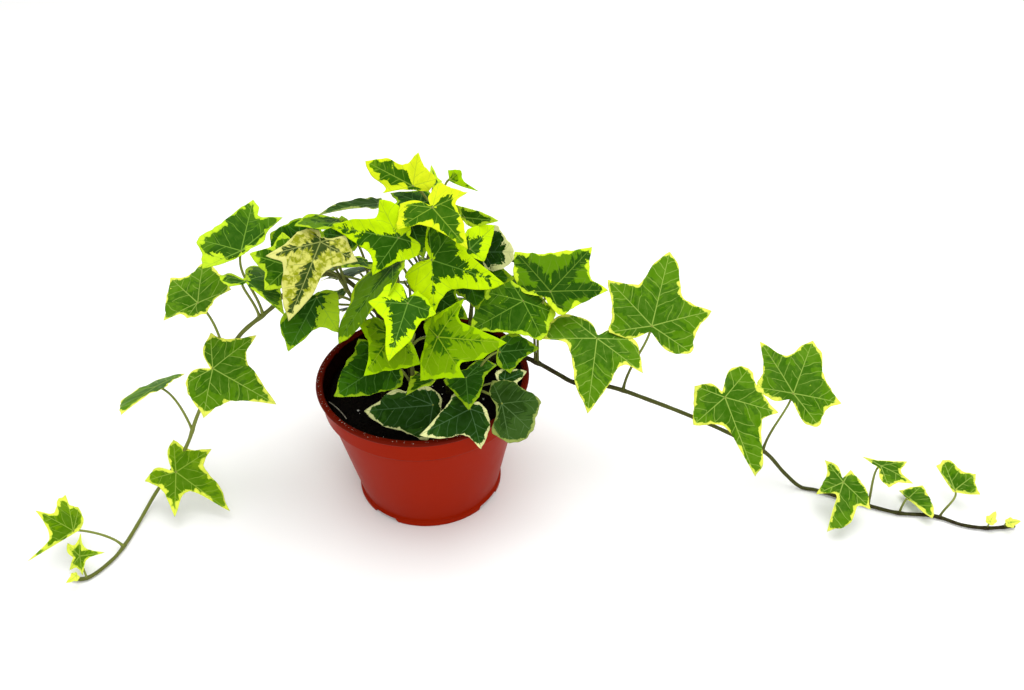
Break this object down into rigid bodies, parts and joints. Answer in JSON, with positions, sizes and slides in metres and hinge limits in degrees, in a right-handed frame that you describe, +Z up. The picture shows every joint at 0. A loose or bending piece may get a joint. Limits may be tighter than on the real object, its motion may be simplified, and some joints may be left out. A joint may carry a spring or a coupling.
{
  "type": "potted ivy",
  "caption": "Trailing variegated ivy in a round plastic nursery pot, with a bushy crown and long vines that fall over the rim and lie on the surface.",
  "frame": {"origin": "middle of the flat pad under the pot", "axes": "+Z up, -Y towards the side that the picture shows, +X to the right, along the longer vine"},
  "size_m": [0.5444, 0.1751, 0.2067],
  "materials": {
    "pot_plastic": "moulded polypropylene, terracotta red, satin",
    "potting_soil": "loose dark peat with white grains of perlite",
    "ivy_green": "waxy green leaf with pale veins and a cream-yellow edge",
    "ivy_lime": "young lime-green to yellow leaf, satin",
    "ivy_dark": "old dark green leaf with a cream edge and grey-green patches"
  },
  "bodies": {
    "root": {"pot": "pot_plastic", "soil": "potting_soil", "vine_left": "ivy_green", "vine_right": "ivy_green", "stem_back_left": "ivy_green", "stem_back_middle": "ivy_green", "stem_back_right": "ivy_green", "stem_top": "ivy_lime", "stem_lime": "ivy_lime", "stem_centre": "ivy_lime", "stem_front": "ivy_lime", "stem_left": "ivy_dark", "stem_rim": "ivy_dark"}
  },
  "joints": []
}
